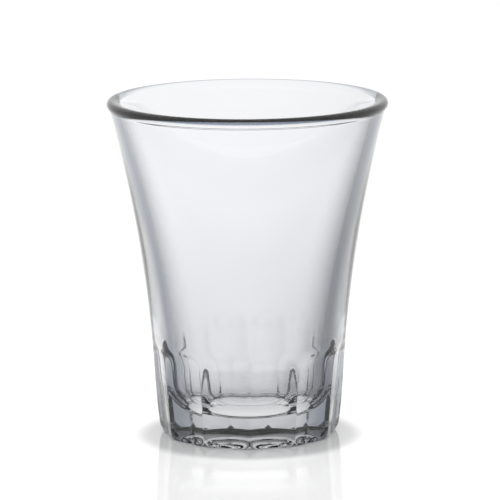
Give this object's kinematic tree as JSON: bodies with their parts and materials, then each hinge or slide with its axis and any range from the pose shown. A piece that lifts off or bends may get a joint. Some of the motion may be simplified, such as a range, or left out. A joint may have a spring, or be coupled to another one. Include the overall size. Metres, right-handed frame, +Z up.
{
  "type": "cortado glass",
  "caption": "Small clear pressed-glass tumbler with a flared wall, a beaded rim and round-topped flutes round its thick base.",
  "frame": {"origin": "centre of the foot, on the surface that the glass stands on", "axes": "+Z up along the axis of the glass; a ridge between two flutes faces -Y"},
  "size_m": [0.072, 0.072, 0.087],
  "materials": {
    "clear_glass": "clear, fire polished"
  },
  "bodies": {
    "root": {"glass_body": "clear_glass"}
  },
  "joints": []
}
